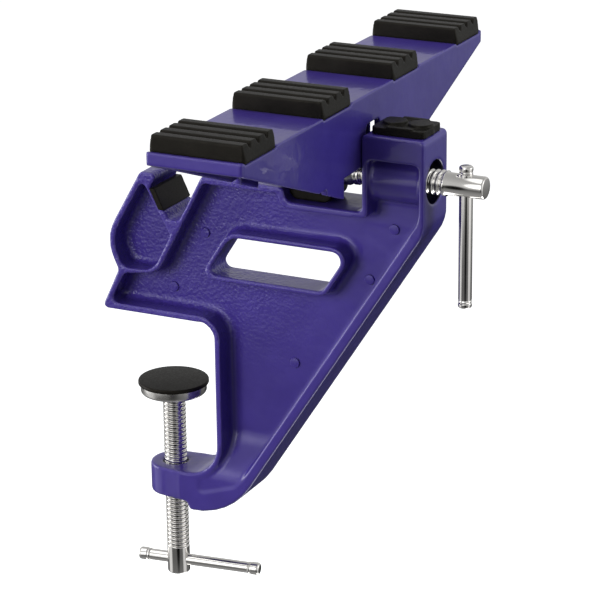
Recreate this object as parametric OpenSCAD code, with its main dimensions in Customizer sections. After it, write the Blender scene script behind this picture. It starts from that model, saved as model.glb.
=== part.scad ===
// Bench vise for skis: a webbed casting clamps to a table edge and carries a
// long rest with four rubber pads. A spindle through the tower locks the rest
// in its pocket. Millimetres, +Z up. The origin is on the table seat, on the
// axis of the clamp screw; X runs to the tower and Y along the rest.

/* [Table clamp] */
// Distance from the screw axis to the throat wall
throat_reach = 40.3; // [36:0.1:55]
// Height of the throat from the table seat down to the foot
throat_h = 106.8; // [90:0.2:140]
// Length of the table seat on the far side of the screw axis
seat_front = 40; // [34:1:50]
// Diameter of the boss round the clamp screw
foot_boss_d = 33; // [30:0.5:36]
// Height of the foot behind the boss
foot_h = 26; // [22:0.5:30]
// How much the boss ends above the foot's underside
boss_rise = 5.8; // [3:0.2:8]

/* [Frame casting] */
// Width across the flanges
frame_w = 36; // [34:0.5:40]
// Thickness of the flanges
rim_t = 4; // [3:0.25:5]
// Thickness of the flange along the slanting edge
slant_t = 7; // [5:0.25:8]
// Thickness of the web
web_t = 5; // [4:0.5:8]
// Height of the frame's top edge above the table seat
frame_top = 97; // [93:0.5:100]
// Angle of the long slanting edge from the horizontal
slant_a = 57.1; // [54:0.1:60]
// Radius of the throat's lower corner
throat_r = 23; // [10:0.5:24]
// Radius of the throat's upper corner
seat_r = 11; // [8:0.5:14]

/* [Horn and vee] */
// How far the horn's bulge reaches in front of the screw axis
horn_reach = 38; // [36:0.5:40]
// Height of the horn's tip above the table seat
horn_top = 95; // [93:0.5:97]
// Middle of the vee's floor from the screw axis
vee_x = 13; // [12:0.1:15]
// Height of the vee's floor above the table seat
vee_z = 65.4; // [63:0.2:66]
// Width of the vee's floor
vee_floor = 7.4; // [7:0.1:9]
// Lean of the vee's left wall from the vertical
vee_left_a = 24.8; // [23:0.2:26]
// Lean of the vee's right wall from the vertical
vee_right_a = 28.1; // [27:0.1:33]
// Thickness of the rubber strip in the vee
strip_t = 3.6; // [3:0.1:4]
// Height of the strip's lower end above the vee's floor
strip_low = 6; // [5:0.25:7]
// Upright height of the strip
strip_h = 13.6; // [12:0.2:15]

/* [Hand slot] */
// Left end of the slot's collar at its foot
slot_x = 29; // [27:0.5:31]
// Length of the slot's collar
slot_l = 89.2; // [86:0.2:96]
// Bottom of the collar above the table seat
slot_z = 29; // [27:0.5:31]
// Height of the collar
slot_h = 33.5; // [31:0.5:35]
// Wall of the collar
slot_wall = 3.3; // [2.5:0.1:4]
// How far the collar stands out in front of the mid-plane
slot_front = 17; // [14:0.5:17]
// How far the collar stands out behind the mid-plane
slot_back = 5; // [4:0.5:17]

/* [Pocket and tower] */
// Pocket's left wall from the screw axis
pocket_x = 91.5; // [90:0.5:94]
// Width of the pocket up to the tower
pocket_w = 52.5; // [51:0.5:56]
// Height of the pocket's floor above the table seat
pocket_z = 88; // [84:0.5:90]
// Width of the tower along X
tower_l = 41.6; // [38:0.2:44]
// Height of the tower's top above the table seat
tower_top = 137; // [134:0.5:140]
// Height where the slanting edge meets the tower
knee_z = 79.1; // [76:0.1:84]
// Outer radius of the spindle boss inside the tower
spindle_boss_r = 15; // [14:0.25:16]
// Diameter of the counterbore in the tower's right face
counterbore_d = 27; // [22:0.5:28]
// Depth of that counterbore
counterbore_l = 12; // [8:0.5:14]
// Height of the tower's solid head
head_h = 15.5; // [15:0.5:20]

/* [Rest beam] */
// Length of the beam
beam_l = 345; // [330:1:360]
// Width of the beam
beam_w = 61.3; // [58:0.1:62]
// Height of the beam's top above the table seat
beam_top = 159.5; // [157:0.5:165]
// Middle of the beam from the casting's mid-plane
rest_shift = 1.5; // [-2:0.5:2]
// Depth of the beam at its ends
beam_end_h = 7.6; // [6:0.2:9]
// Depth of the beam next to the tower
beam_mid_h = 57; // [54:0.5:60]
// Thickness of the beam's side walls
beam_wall = 4; // [3:0.25:5]
// Thickness of the beam's top skin under the pads
beam_skin = 3.5; // [2.5:0.25:5]
// Thickness of the beam's inner ribs
beam_rib = 3; // [2:0.25:4]
// Radius of the beam's upright corners
beam_corner_r = 2; // [1:0.5:8]
// Inner end of a tooth from the mid-plane
tooth_in = 41.5; // [34:0.5:44]
// Outer end of a tooth from the mid-plane
tooth_out = 65.5; // [60:0.5:68]
// Height of the flat underside above the table seat
flat_z = 115.5; // [114:0.25:118]
// Width of the notch for the spindle in the right wall
notch_w = 19.5; // [18.6:0.1:24]
// Height of the notch's top above the table seat
notch_top = 140.5; // [134:0.5:146]

/* [Beam lug] */
// Width of the lug along X, with its rubber boot
lug_l = 29; // [26:0.5:31]
// Width of the lug along Y, with its rubber boot
lug_w = 24; // [20:0.5:28]
// Thickness of the rubber boot
boot_t = 2.5; // [1.5:0.25:3.5]
// Height of the rubber boot
boot_h = 24; // [18:0.5:26]

/* [Rubber pads] */
// Length of a pad along the beam
pad_l = 39; // [30:0.5:40]
// Height of a pad from its seat
pad_h = 11; // [10:0.2:15]
// Depth of the channel that holds a pad
pad_seat = 1.5; // [1:0.25:4]
// Number of pads along the beam
pad_count = 4; // [4:1:4]
// Number of ribs on a pad
pad_ribs = 4; // [3:1:6]
// Depth of the grooves between the ribs
groove_h = 3; // [2:0.25:4]
// Width of the grooves between the ribs
groove_w = 3; // [2:0.25:4]
// Radius of a pad's upright corners
pad_corner_r = 3; // [2:0.5:6]
// Length of the lip between a pad and the beam's end
end_lip = 3.5; // [3:0.1:6]
// How much a pad's long side draws in towards its top
pad_lean = 2.2; // [1:0.1:3]
// Gap between a pad and the walls of its channel
pad_gap = 0.2; // [0.1:0.05:0.4]

/* [Tower pad] */
// Length of the tower pad along X
tower_pad_l = 35; // [34:0.5:38]
// Width of the tower pad along Y
tower_pad_w = 27; // [26:0.5:33]
// Thickness of the tower pad's plate
tower_pad_t = 4.5; // [4:0.25:7]
// Diameter of the round studs on the tower pad
stud_d = 15; // [12:0.5:16]
// Height of those studs
stud_h = 2; // [1:0.25:4]
// Diameter of the stem that plugs the tower pad in
stem_d = 8; // [6:0.5:10]
// Length of that stem
stem_l = 6; // [4:0.5:8]

/* [Clamp screw] */
// Outer diameter of the clamp screw
screw_d = 15; // [12:0.25:16]
// Top face of the clamp shoe's rubber below the table seat
shoe_z = 49.4; // [34:0.2:60]
// Length of the threaded stretch
screw_l = 109; // [104:0.5:112]
// Length of the plain head at the screw's lower end
screw_head_l = 18.2; // [14:0.1:24]
// Diameter of the journal that carries the shoe
journal_d = 9; // [7:0.25:10]
// Axis of the T-bar below the end of the thread
bar_drop = 9.3; // [6:0.1:12]

/* [Clamp shoe] */
// Diameter of the rubber cap
cap_d = 46.4; // [42:0.2:50]
// Diameter of the steel shoe
shoe_d = 43.4; // [38:0.2:44]
// Height of the steel shoe
shoe_h = 8.6; // [7.6:0.1:12]
// Height of the rubber cap
cap_h = 2.6; // [2.4:0.1:5]
// Thickness of the rubber over the steel shoe
cap_t = 2; // [1.5:0.1:3]

/* [Spindle] */
// Outer diameter of the spindle's thread
spindle_d = 16; // [12:0.25:16]
// Diameter of the spindle's plain head
spindle_head_d = 14.6; // [12:0.2:15]
// Height of the spindle's axis above the table seat
spindle_z = 107.7; // [106:0.1:110]
// Length of the plain head on the spindle
spindle_head_l = 25.3; // [20:0.1:30]
// Threaded stretch showing outside the tower
spindle_out = 7.7; // [4:0.1:10]
// Diameter of the press shoe
press_d = 17.6; // [16:0.2:18]
// Length of the steel press shoe
press_l = 8; // [6:0.25:9]
// Thickness of the press shoe's rubber face
press_rubber_t = 3.5; // [2:0.25:4]
// Diameter of the journal in the press shoe
press_journal_d = 8; // [6:0.25:9]

/* [T-bars] */
// Diameter of the clamp screw's bar
bar_d = 7.5; // [6:0.25:8]
// Length of the clamp screw's bar
bar_l = 86; // [70:1:110]
// Middle of that bar from the screw axis
bar_shift = 15; // [0:0.5:20]
// Turn of that bar from the X axis
bar_turn = 7; // [0:1:45]
// Diameter of the spindle's bar
key_d = 8.5; // [6:0.25:9]
// Length of the spindle's bar
key_l = 90; // [70:1:110]
// Length of a crimped end cap
cap_l = 8; // [6:0.25:12]
// Length of a crimped end cap on the spindle's bar
key_cap_l = 5; // [4:0.25:12]
// Wall of the end caps
cap_wall = 0.5; // [0.3:0.05:0.8]

/* [Hidden] */

// Overrun of every cut past the face it opens
over = 1;
// Radial clearance of a turning or sliding fit
running = 0.05;
// Gap between faces of bodies that move apart
clear = 0.3;
// Radial clearance of a screw through a plain hole
screw_clear = 0.6;
// Straight pieces in a rounded corner of an outline
arc_steps = 6;
$fn = 64;

// Small edge radii of the casting, and the round at the strut's junctions
edge_r = 3;
tip_r = 1.5;
knee_r = 25;
knee_in_r = 19;
foot_r = 50;
horn_r = 28;
lobe_r = 15;
// The strut beside the vee
strut_t = 3.1;
// Rise of the shelf's blunt tip, and the corner where the horn starts
shelf_tip_h = 3.4;

// Horn outline as shares of horn_reach and horn_top, and its corner radii
horn_kink_share = [0.75, 0.288];
horn_bulge_share = [1, 0.498];
horn_left_share = [0.276, 1];
horn_right_share = [0.066, 1];
// Lower rim of the horn's recess, as shares of the same two sizes
lobe_left_share = [0.645, 0.265];
lobe_right_share = [0, 0.3];

tower_x = pocket_x + pocket_w;
tower_right = tower_x + tower_l;
foot_z = -throat_h - foot_h;
boss_z = foot_z + boss_rise;
half_w = frame_w / 2;
head_z = tower_top - head_h;

beam_right = tower_x - 0.5;
beam_left = beam_right - beam_w;
beam_mid = (beam_left + beam_right) / 2;
pad_pitch = (beam_l - 2 * end_lip - pad_l) / (pad_count - 1);
first_pad = -beam_l / 2 + end_lip + pad_l / 2;
skin_z = beam_top - pad_seat - beam_skin;
beam_tooth_z = beam_top - beam_mid_h;
lug_left = pocket_x + clear;
lug_right = lug_left + lug_l;
lug_z = pocket_z + clear;

shoe_top = -shoe_z - cap_t;
shoe_foot = shoe_top - shoe_h;
screw_top = shoe_foot - clear;
screw_low = screw_top - screw_l;
screw_end = screw_low - screw_head_l;
bar_z = screw_low - bar_drop;
clip_t = 1;
clip_r = 7;
clip_bore_r = journal_d / 2 - 0.8;

press_face = lug_right + clear;
press_left = press_face + press_rubber_t;
press_right = press_left + press_l;
spindle_left = press_right + clear;
spindle_low = tower_right + spindle_out;
spindle_end = spindle_low + spindle_head_l;
key_x = spindle_low + spindle_head_l / 2 - spindle_head_l / 50;
key_top = spindle_z + spindle_head_d / 2 + key_cap_l + clear / 2;

// Direction of an angle, and a left-hand normal to it
function heading(a) = [cos(a), sin(a)];
function left_of(a) = [-sin(a), cos(a)];
// Where the line through p at angle a meets the line through q at angle b
function meet(p, a, q, b) =
    p + heading(a) * cross(q - p, heading(b)) / cross(heading(a), heading(b));
function unit(v) = v / norm(v);
function turned(v, a) = [v[0] * cos(a) - v[1] * sin(a), v[0] * sin(a) + v[1] * cos(a)];
// Corner b between a and c, rounded to radius r
function corner(a, b, c, r) =
    r == 0 ? [b] :
    let (u = unit(a - b), w = unit(c - b), half = acos(u * w) / 2)
    let (mid = b + unit(u + w) * r / sin(half), start = b + u * r / tan(half))
    let (sweep = (cross(w, u) > 0 ? 1 : -1) * (180 - 2 * half))
    [for (i = [0:arc_steps]) mid + turned(start - mid, sweep * i / arc_steps)];
// Closed outline from rows of [point, corner radius]
function outline(rows) =
    let (n = len(rows))
    [for (i = [0:n - 1])
        each corner(rows[(i + n - 1) % n][0], rows[i][0], rows[(i + 1) % n][0], rows[i][1])];
function shaped(share, size) = [share[0] * size[0], share[1] * size[1]];

// The vee's free walls, its strip's seat and the strut on its right, at height z
function vee_left(z) = vee_x - vee_floor / 2 - (z - vee_z) * tan(vee_left_a);
function vee_right(z) = vee_x + vee_floor / 2 + (z - vee_z) * tan(vee_right_a);
function strip_back(z) = vee_left(z) - strip_t / cos(vee_left_a);
function strut_right(z) = vee_right(z) + strut_t / cos(vee_right_a);
function strut_inner(z) = strut_right(z) - (strut_t + rim_t) / 2 / cos(vee_right_a) * 1.1;

// Extrudes an X-Z outline across Y, from y0 to y1
module across(y0, y1) {
    translate([0, y1, 0]) rotate([90, 0, 0]) linear_extrude(height = y1 - y0) children();
}
// Extrudes a Y-Z outline along X, from x0 to x1
module along(x0, x1) {
    translate([x0, 0, 0]) rotate([90, 0, 90]) linear_extrude(height = x1 - x0) children();
}
// Cylinder on the X axis line of the spindle, from x0 to x1
module on_spindle(r, x0, x1) {
    translate([x0, 0, spindle_z]) rotate([0, 90, 0]) cylinder(r = r, h = x1 - x0);
}
// Cylinder on the screw axis, from z0 up to z1
module on_screw(r, z0, z1) {
    translate([0, 0, z0]) cylinder(r = r, h = z1 - z0);
}
module box_between(low, high) {
    translate(low) cube(high - low);
}

step_x = foot_boss_d / 2 + tip_r;
knee = [tower_right, knee_z];
knee_in = knee + slant_t * left_of(slant_a);
horn_size = [-horn_reach, horn_top];
horn_right = [horn_right_share[0] * horn_reach, horn_top];
kink = shaped(horn_kink_share, horn_size);
bulge = shaped(horn_bulge_share, horn_size);
horn_left = shaped(horn_left_share, horn_size);
shelf_tip = [-seat_front, 0];
shelf_a = atan2(kink[1] - shelf_tip_h, kink[0] - shelf_tip[0]);
strip_z = vee_z + strip_low;
strip_top_z = strip_z + strip_h;
flank_a = atan2(horn_left[1] - bulge[1], horn_left[0] - bulge[0]);
chin_a = atan2(bulge[1] - kink[1], bulge[0] - kink[0]);

// Outer edge of the casting, seen from the front
function frame_outline() = outline([
    [shelf_tip, tip_r],
    [[throat_reach, 0], seat_r],
    [[throat_reach, -throat_h], throat_r],
    [[0, -throat_h], 0],
    [[0, boss_z], 0],
    [[step_x, boss_z], tip_r],
    [[step_x, foot_z], edge_r],
    [meet([0, foot_z], 0, knee, slant_a), foot_r],
    [knee, knee_r],
    [[tower_right, tower_top], edge_r],
    [[tower_x, tower_top], edge_r],
    [[tower_x, pocket_z], edge_r],
    [[pocket_x, pocket_z], 2 * edge_r],
    [[pocket_x, frame_top], edge_r],
    [[vee_right(frame_top), frame_top], edge_r / 2],
    [[vee_right(vee_z), vee_z], edge_r],
    [[vee_left(vee_z), vee_z], edge_r],
    [[vee_left(strip_z), strip_z], 0],
    [[strip_back(strip_z), strip_z], 0],
    [[strip_back(strip_top_z), strip_top_z], 0],
    [horn_right, edge_r],
    [horn_left, edge_r],
    [bulge, horn_r],
    [kink, tip_r],
    [shelf_tip + [0, shelf_tip_h], tip_r]
]);

// Lower left corner of the hollow in the foot, and the slope of its floor
foot_in = [step_x + 2 * rim_t, -throat_h - foot_h / 2];
foot_in_a = 18;

// Large hollow on each side of the web
shelf_in = shelf_tip + [0, shelf_tip_h] - rim_t * left_of(shelf_a);
lobe_left = shaped(lobe_left_share, horn_size);
lobe_right = shaped(lobe_right_share, horn_size);
function main_hollow() = outline([
    [meet([0, rim_t], 0, shelf_in, shelf_a), edge_r],
    [[throat_reach + rim_t, rim_t], seat_r + rim_t],
    [[throat_reach + rim_t, -throat_h - rim_t], throat_r + rim_t],
    [[foot_in[0], -throat_h - rim_t], tip_r],
    [foot_in, edge_r],
    [meet(foot_in, foot_in_a, knee_in, slant_a), lobe_r],
    [meet([tower_right - rim_t, 0], 90, knee_in, slant_a), knee_in_r],
    [[tower_right - rim_t, head_z], edge_r],
    [[tower_x + rim_t, head_z], edge_r],
    [[tower_x + rim_t, pocket_z - rim_t], edge_r],
    [[pocket_x - rim_t, pocket_z - rim_t], 2 * edge_r],
    [[pocket_x - rim_t, frame_top - rim_t], edge_r],
    [[strut_right(frame_top - rim_t), frame_top - rim_t], edge_r],
    [meet([strut_right(vee_z), vee_z], 90 - vee_right_a, lobe_right, 0), lobe_r],
    [lobe_left, tip_r]
]);

// Teardrop hollow in the horn
tear_z = kink[1] + rim_t / 2;
tear_left = bulge + rim_t * [1, 0] * 1.15;
flank_in = horn_left - rim_t * left_of(flank_a);
chin_in = kink + rim_t * [sin(chin_a), -cos(chin_a)];
strut_a_in = [strip_back(strip_z) - rim_t * 0.35, strip_z];
strut_a_angle = 90 + vee_left_a + 4.3;
function tear_hollow() = outline([
    [meet([0, tear_z], 0, chin_in, chin_a), 2 * edge_r],
    [[strut_inner(tear_z), tear_z], lobe_r - tip_r],
    [meet([strut_inner(vee_z), vee_z], 90 - vee_right_a, strut_a_in, strut_a_angle), tip_r],
    [meet(strut_a_in, strut_a_angle, flank_in, flank_a), tip_r],
    [meet(flank_in, flank_a, chin_in, chin_a), horn_r - rim_t]
]);

// Collar of the hand slot: inset 0 is its outer wall, inset slot_wall its opening
slot_end_r = 9;
slot_foot_r = 6;
function slot_outline(inset) =
    let (run = slot_h / tan(slant_a), shift = inset / sin(slant_a), lift = inset / tan(slant_a))
    let (x0 = slot_x + shift + lift, x1 = slot_x + slot_l - shift + lift)
    let (top = slot_z + slot_h - inset, slide = run - 2 * lift)
    outline([
        [[x0, slot_z + inset], slot_foot_r - inset / 2],
        [[x1, slot_z + inset], slot_end_r - inset],
        [[x1 + slide, top], slot_end_r - inset],
        [[x0 + slide, top], slot_end_r + slot_foot_r - inset]
    ]);

// Moulder's pin marks: low discs on the web, as [x share, z share] of the outline
pin_shares = [[0.150, 0.404], [0.022, 0.115], [0.860, 0.545], [0.769, 0.291], [0.487, -0.171]];
pin_r = 3;
pin_h = 0.9;

module pin_marks() {
    for (share = pin_shares, side = [-1, 1])
        translate([share[0] * tower_right, side * web_t / 2, share[1] * tower_top])
            rotate([90, 0, 0]) cylinder(r = pin_r, h = 2 * pin_h, center = true);
}

module frame_casting() {
    nut_cut = nut_d / 2;
    color("#3b3797") difference() {
        union() {
            across(-web_t / 2, web_t / 2) polygon(frame_outline());
            across(-half_w, half_w) difference() {
                polygon(frame_outline());
                polygon(main_hollow());
                polygon(tear_hollow());
            }
            across(-slot_front, slot_back) polygon(slot_outline(0));
            on_spindle(spindle_boss_r, tower_x + rim_t / 2, tower_right - rim_t / 2);
            on_screw(foot_boss_d / 2, boss_z, -throat_h);
            pin_marks();
            foot_ramp();
        }
        foot_block();
        across(-half_w - over, half_w + over) polygon(slot_outline(slot_wall));
        on_screw(screw_d / 2 + screw_clear, foot_z - over, -throat_h + over);
        on_screw(nut_cut, foot_nut_z, foot_nut_z + foot_nut_h);
        on_spindle(spindle_d / 2 + screw_clear, tower_x - over, tower_right);
        on_spindle(counterbore_d / 2, tower_right - counterbore_l, tower_right + over);
        on_spindle(nut_cut, tower_nut_x, tower_right - counterbore_l + over);
        translate([tower_pad_x, 0, tower_top - stem_l - clear])
            cylinder(d = stem_d, h = stem_l + over);
    }
}

// What is cut from the foot plate round the screw's boss
boss_blend = 12;
module foot_block() {
    box_x = foot_boss_d / 2;
    difference() {
        box_between([-box_x, -half_w - over, foot_z - over], [boss_blend, half_w + over, -throat_h + over]);
        on_screw(foot_boss_d / 2, foot_z - 2 * over, -throat_h + 2 * over);
        translate([0, 0, foot_z - 2 * over]) linear_extrude(height = foot_h + 4 * over) polygon([
            [0, -box_x], [boss_blend + over, -half_w], [boss_blend + over, half_w], [0, box_x]
        ]);
    }
}

// Large fillet that leads the web out to the foot's full width, seen from its end
ramp_r = 78;
ramp_a = 34;
ramp_l = 80;
module foot_ramp() {
    intersection() {
        across(-half_w, half_w) polygon(frame_outline());
        along(0, ramp_l) polygon(concat([
            for (i = [0:2 * arc_steps]) let (a = ramp_a * i / arc_steps / 2)
                [web_t / 2 + ramp_r * (1 - cos(a)), foot_in[1] + ramp_r * (sin(ramp_a) - sin(a))]],
            [for (i = [2 * arc_steps:-1:0]) let (a = ramp_a * i / arc_steps / 2)
                [-web_t / 2 - ramp_r * (1 - cos(a)), foot_in[1] + ramp_r * (sin(ramp_a) - sin(a))]]
        ));
    }
}

// Steel nuts held in the casting
nut_d = 22;
foot_nut_h = 16;
foot_nut_z = boss_z + (foot_h - boss_rise - foot_nut_h) / 2;
tower_nut_l = 18;
tower_nut_x = tower_right - counterbore_l - tower_nut_l;

module foot_thread_nut() {
    color("#b9bbbf") difference() {
        on_screw(nut_d / 2, foot_nut_z, foot_nut_z + foot_nut_h);
        on_screw(screw_d / 2 + running, foot_nut_z - over, foot_nut_z + foot_nut_h + over);
    }
}

module tower_thread_nut() {
    color("#b9bbbf") difference() {
        on_spindle(nut_d / 2, tower_nut_x, tower_nut_x + tower_nut_l);
        on_spindle(spindle_d / 2 + running, tower_nut_x - over, tower_nut_x + tower_nut_l + over);
    }
}

module vee_rubber() {
    color("#2b2a27") across(-half_w, half_w) polygon([
        [strip_back(strip_z), strip_z],
        [vee_left(strip_z), strip_z],
        [vee_left(strip_top_z), strip_top_z],
        [strip_back(strip_top_z), strip_top_z]
    ]);
}

// Rubber top of the tower: a plate with two round studs and two low bars
tower_pad_x = tower_x + tower_l / 2 + 1.2;
stud_shift = 1.2;
stud_pitch = stud_d + 2;
stud_bar_w = 3;
module tower_pad() {
    color("#2b2a27") {
        translate([tower_pad_x, 0, tower_top]) {
            linear_extrude(height = tower_pad_t) polygon(outline([
                [[-tower_pad_l / 2, -tower_pad_w / 2], edge_r],
                [[tower_pad_l / 2, -tower_pad_w / 2], edge_r],
                [[tower_pad_l / 2, tower_pad_w / 2], edge_r],
                [[-tower_pad_l / 2, tower_pad_w / 2], edge_r]
            ]));
            for (side = [-1, 1]) {
                translate([stud_shift + side * stud_pitch / 2, 0, 0])
                    cylinder(d1 = stud_d + stud_h, d2 = stud_d, h = tower_pad_t + stud_h);
                translate([stud_shift - stud_pitch / 2, side * (tower_pad_w - stud_bar_w) / 2 - stud_bar_w / 2, 0])
                    cube([stud_pitch, stud_bar_w, tower_pad_t + stud_h / 2]);
            }
            translate([0, 0, -stem_l]) cylinder(d = stem_d, h = stem_l + over);
        }
    }
}

// Side of the beam, seen from the right: sloping undersides, teeth and flats
function beam_side() =
    let (half = beam_l / 2, slope = (beam_end_h - beam_mid_h) / (half - tooth_in))
    [for (side = [1, -1])
        each let (rows = [
            [tooth_in, flat_z], [tooth_in, beam_tooth_z],
            [tooth_out, beam_top - beam_end_h + slope * (half - tooth_out)],
            [tooth_out, flat_z],
            [half - (beam_top - beam_end_h - flat_z) / -slope, flat_z],
            [half, beam_top - beam_end_h], [half, beam_top]
        ])
        [for (i = [0:len(rows) - 1]) let (row = rows[side > 0 ? i : len(rows) - 1 - i])
            [side * row[0], row[1]]]];

// Plan of the beam with rounded upright corners, shrunk by inset
module beam_plan(inset) {
    r = max(beam_corner_r - inset, beam_wall / 4);
    polygon(outline([
        [[beam_left + inset, -beam_l / 2 + inset], r],
        [[beam_right - inset, -beam_l / 2 + inset], r],
        [[beam_right - inset, beam_l / 2 - inset], r],
        [[beam_left + inset, beam_l / 2 - inset], r]
    ]));
}

// Shallow ribs across the hollow beam, by their places along Y
rib_h = 20;
bay_rib = (tooth_out + beam_l / 2) / 2;
rib_places = [tooth_in + beam_rib / 2, tooth_out - beam_rib / 2, bay_rib];

module beam_ribs() {
    intersection() {
        union() {
            for (place = rib_places, side = [-1, 1])
                box_between([beam_left, side * place - beam_rib / 2, skin_z - rib_h],
                    [beam_right, side * place + beam_rib / 2, beam_top - pad_seat]);
        }
        along(beam_left + over, beam_right - over) polygon(beam_side());
        linear_extrude(height = beam_top) beam_plan(beam_wall / 2);
    }
}

module support_beam() {
    notch_half = notch_w / 2;
    lug_in = boot_t;
    color("#3b3797") translate([0, rest_shift, 0]) difference() {
        union() {
            difference() {
                intersection() {
                    along(beam_left, beam_right) polygon(beam_side());
                    linear_extrude(height = beam_top + over) beam_plan(0);
                }
                linear_extrude(height = skin_z) beam_plan(beam_wall);
            }
            beam_ribs();
            lug_body(boot_t, beam_top - pad_seat);
            for (side = [-1, 1])
                box_between([lug_left + lug_in, side * lug_w / 4 - beam_rib / 2, flat_z],
                    [beam_right - over, side * lug_w / 4 + beam_rib / 2, skin_z + over]);
            box_between([beam_left + over, -beam_rib / 2, flat_z],
                [lug_left + lug_in + over, beam_rib / 2, skin_z + over]);
        }
        for (i = [0:pad_count - 1])
            box_between([beam_left - over, first_pad + i * pad_pitch - pad_l / 2 - pad_gap, beam_top - pad_seat],
                [beam_right + over, first_pad + i * pad_pitch + pad_l / 2 + pad_gap, beam_top + over]);
        along(beam_right - beam_wall - over, beam_right + over) polygon(outline([
            [[-notch_half, 0], 0],
            [[notch_half, 0], 0],
            [[notch_half, notch_top], edge_r],
            [[-notch_half, notch_top], edge_r]
        ]));
        translate([0, -rest_shift, 0]) on_spindle(notch_half, lug_right, beam_right);
    }
}

// A pad seen from its end: ribs with sloped flanks and grooves between them
rib_pitch = (pad_l + groove_w) / pad_ribs;
rib_r = 0.8;
function pad_profile() =
    let (top = pad_h, low = pad_h - groove_h, lean = groove_w / 6, wide = rib_pitch - groove_w)
    outline(concat(
        [[[-pad_l / 2, 0], 0], [[pad_l / 2, 0], 0]],
        [for (i = [pad_ribs - 1:-1:0])
            each let (y = -pad_l / 2 + i * rib_pitch)
            concat(
                [[[y + wide - lean, top], rib_r], [[y + lean, top], rib_r]],
                i > 0 ? [[[y - lean, low], rib_r / 2], [[y - groove_w + lean, low], rib_r / 2]] : []
            )]
    ));

module rest_pad(i) {
    half = beam_w / 2;
    color("#2b2a27") translate([beam_mid, rest_shift + first_pad + i * pad_pitch, beam_top - pad_seat])
        intersection() {
            along(-half, half) polygon(pad_profile());
            across(-pad_l, pad_l) polygon([
                [-half, 0], [half, 0], [half, pad_seat], [half - pad_lean, pad_h + over],
                [-half + pad_lean, pad_h + over], [-half, pad_seat]
            ]);
            linear_extrude(height = pad_h + over) polygon(outline([
                [[-beam_w / 2, -pad_l / 2], pad_corner_r],
                [[beam_w / 2, -pad_l / 2], pad_corner_r],
                [[beam_w / 2, pad_l / 2], pad_corner_r],
                [[-beam_w / 2, pad_l / 2], pad_corner_r]
            ]));
        }
}
module rest_pad_1() { rest_pad(0); }
module rest_pad_2() { rest_pad(1); }
module rest_pad_3() { rest_pad(2); }
module rest_pad_4() { rest_pad(3); }

// Lug with rounded lower corners, shrunk by inset, up to height z
lug_r = 2 * edge_r;
module lug_body(inset, z) {
    across(-lug_w / 2 + inset, lug_w / 2 - inset) polygon(outline([
        [[lug_left + inset, lug_z + inset], lug_r - inset],
        [[lug_right - inset, lug_z + inset], lug_r - inset],
        [[lug_right - inset, z], 0],
        [[lug_left + inset, z], 0]
    ]));
}

// Rubber boot over the foot of the lug
module lug_boot() {
    color("#2b2a27") translate([0, rest_shift, 0]) difference() {
        lug_body(0, lug_z + boot_h);
        lug_body(boot_t, lug_z + boot_h + over);
    }
}

// Clamp screw, swivel shoe, its clip and its rubber cap
clip_seat_z = shoe_top - 3;
module clamp_screw() {
    color("#c9ccd1") difference() {
        union() {
            on_screw(screw_d / 2, screw_end, screw_top);
            on_screw(journal_d / 2, screw_top - over, clip_seat_z + 2 * clip_t);
        }
        difference() {
            on_screw(screw_d, clip_seat_z + clear / 3, clip_seat_z + clear / 3 + clip_t);
            on_screw(clip_bore_r, clip_seat_z - over, clip_seat_z + 3 * clip_t);
        }
        clamp_bar_line() cylinder(d = bar_d + 2 * running, h = 2 * screw_d, center = true);
        on_bevel(screw_end);
    }
}

// Bevel round the lower end of the screw's head
module on_bevel(z) {
    rotate_extrude() polygon([
        [screw_d / 2 - bevel, z - over],
        [screw_d / 2 + over, z - over],
        [screw_d / 2 + over, z + bevel + over],
        [screw_d / 2 - bevel, z]
    ]);
}
bevel = 1;

// Rounded underside of the steel shoe: how far in it goes and how high
dish_in = 6;
dish_h = 4.2;
module clamp_shoe() {
    color("#c9ccd1") difference() {
        rotate_extrude() polygon([
            [0, shoe_foot], [shoe_d / 2 - dish_in, shoe_foot],
            [shoe_d / 2 - dish_in / 4, shoe_foot + dish_h * 2 / 3],
            [shoe_d / 2, shoe_foot + dish_h], [shoe_d / 2, shoe_top], [0, shoe_top]
        ]);
        on_screw(journal_d / 2 + running, shoe_foot - over, shoe_top + over);
        on_screw(clip_r + clear, clip_seat_z, shoe_top + over);
    }
}

module clamp_shoe_clip() {
    z = clip_seat_z + clear / 3;
    color("#8d9096") difference() {
        on_screw(clip_r, z, z + clip_t);
        on_screw(clip_bore_r, z - over, z + clip_t + over);
    }
}

module clamp_shoe_rubber() {
    color("#2b2a27") difference() {
        on_screw(cap_d / 2, -shoe_z - cap_h, -shoe_z);
        on_screw(shoe_d / 2, -shoe_z - cap_h - over, shoe_top);
    }
}

// Places its children on the clamp bar's axis, with +Z along the bar
module clamp_bar_line() {
    translate([0, 0, bar_z]) rotate([0, 90, bar_turn]) children();
}

// A T-bar with a turned-down seat for a cap at each end
seat_step = 0.6;
module t_bar(d, l, seat_l) {
    cylinder(d = d, h = l - 2 * seat_l, center = true);
    cylinder(d = d - 2 * seat_step, h = l - 2 * cap_wall, center = true);
}

// A crimped cap, its open end at the origin and its domed end along +Z
module end_cap(d, l) {
    grown = d / 2 + cap_wall;
    difference() {
        rotate_extrude() polygon(concat(
            [[0, 0], [grown, 0]],
            [for (i = [0:arc_steps]) let (a = 90 * i / arc_steps, r = grown / 2)
                [grown - r + r * cos(a), l - r + r * sin(a)]],
            [[0, l]]
        ));
        translate([0, 0, -over]) cylinder(d = d - 2 * seat_step, h = l - cap_wall + over);
    }
}

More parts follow.
